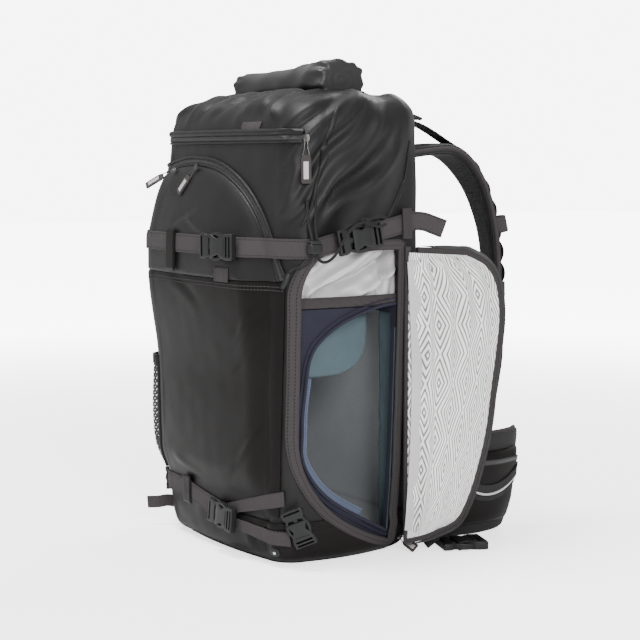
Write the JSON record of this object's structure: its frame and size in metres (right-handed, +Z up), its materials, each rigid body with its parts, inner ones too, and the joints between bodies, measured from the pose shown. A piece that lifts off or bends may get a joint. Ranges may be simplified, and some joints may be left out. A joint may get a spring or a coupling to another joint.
{
  "type": "camera backpack",
  "caption": "Upright camera backpack with a rolled top, front pockets, padded harness and a side door swung open on a padded, divided camera insert.",
  "frame": {"origin": "on the floor, on the upright axis of the main compartment, midway between its two sides", "axes": "+Z up, +X to the wearer's right, where the side door is, +Y to the back, where the harness is, so the front faces -Y"},
  "size_m": [0.3267, 0.366, 0.506],
  "materials": {
    "shell": "dark charcoal coated nylon with a soft sheen",
    "coated": "smooth laminated tarpaulin cloth, dark brownish grey, satin",
    "webbing": "woven brown-grey webbing and binding tape, matte",
    "plastic": "moulded dark grey plastic, matte",
    "lining": null,
    "insert": "dark navy padded cloth",
    "divider": "teal brushed felt over foam",
    "padding": "black padded cloth with spacer mesh on its inner face",
    "mesh": "black mesh, elastic and zip tape",
    "metal": "dark grey metal zip link with a cloth tab"
  },
  "bodies": {
    "root": {"bag_body": "shell", "base_panel": "coated", "door_zip_tape": "webbing", "stash_pocket": "coated", "arch_pocket": "shell", "arch_zip": "mesh", "brow_zip": "mesh", "roll_top": "shell", "side_door": "lining", "door_binding": "webbing", "upper_strap_front": "webbing", "upper_strap_side": "webbing", "lower_strap_left": "webbing", "lower_strap_upper_run": "webbing", "lower_strap_lower_run": "webbing", "upper_buckle_front": "plastic", "upper_buckle_side": "plastic", "lower_buckle_front": "plastic", "lower_buckle_corner": "plastic", "strap_keeper_front": "coated", "strap_keeper_side": "webbing", "pocket_tab": "webbing", "brow_tab": "webbing", "upper_strap_end": "webbing", "insert_shell": "insert", "divider_upper": "divider", "divider_back": "divider", "divider_lower": "divider", "lining_panel": "lining", "lining_hem": "webbing", "back_pad": "padding", "shoulder_strap_right": "padding", "strap_webbing_right": "webbing", "strap_adjuster_right": "plastic", "load_lifter_right": "webbing", "lifter_buckle_right": "plastic", "shoulder_strap_left": "padding", "strap_webbing_left": "webbing", "strap_adjuster_left": "plastic", "load_lifter_left": "webbing", "lifter_buckle_left": "plastic", "hip_wing_right": "padding", "hip_pocket_right": "coated", "hip_wing_left": "padding", "hip_pocket_left": "coated", "hip_webbing_right": "webbing", "hip_buckle_right": "plastic", "haul_loop": "webbing", "mesh_pocket": "mesh", "pocket_elastic": "webbing", "brow_pull": "metal", "arch_pull": "metal", "arch_pull_loose": "metal", "door_pull": "metal", "cord_short": "mesh", "cord_long": "mesh", "cord_lock": "plastic", "cord_end": "plastic", "left_buckle": "plastic", "tripod_loop": "webbing"}
  },
  "joints": []
}
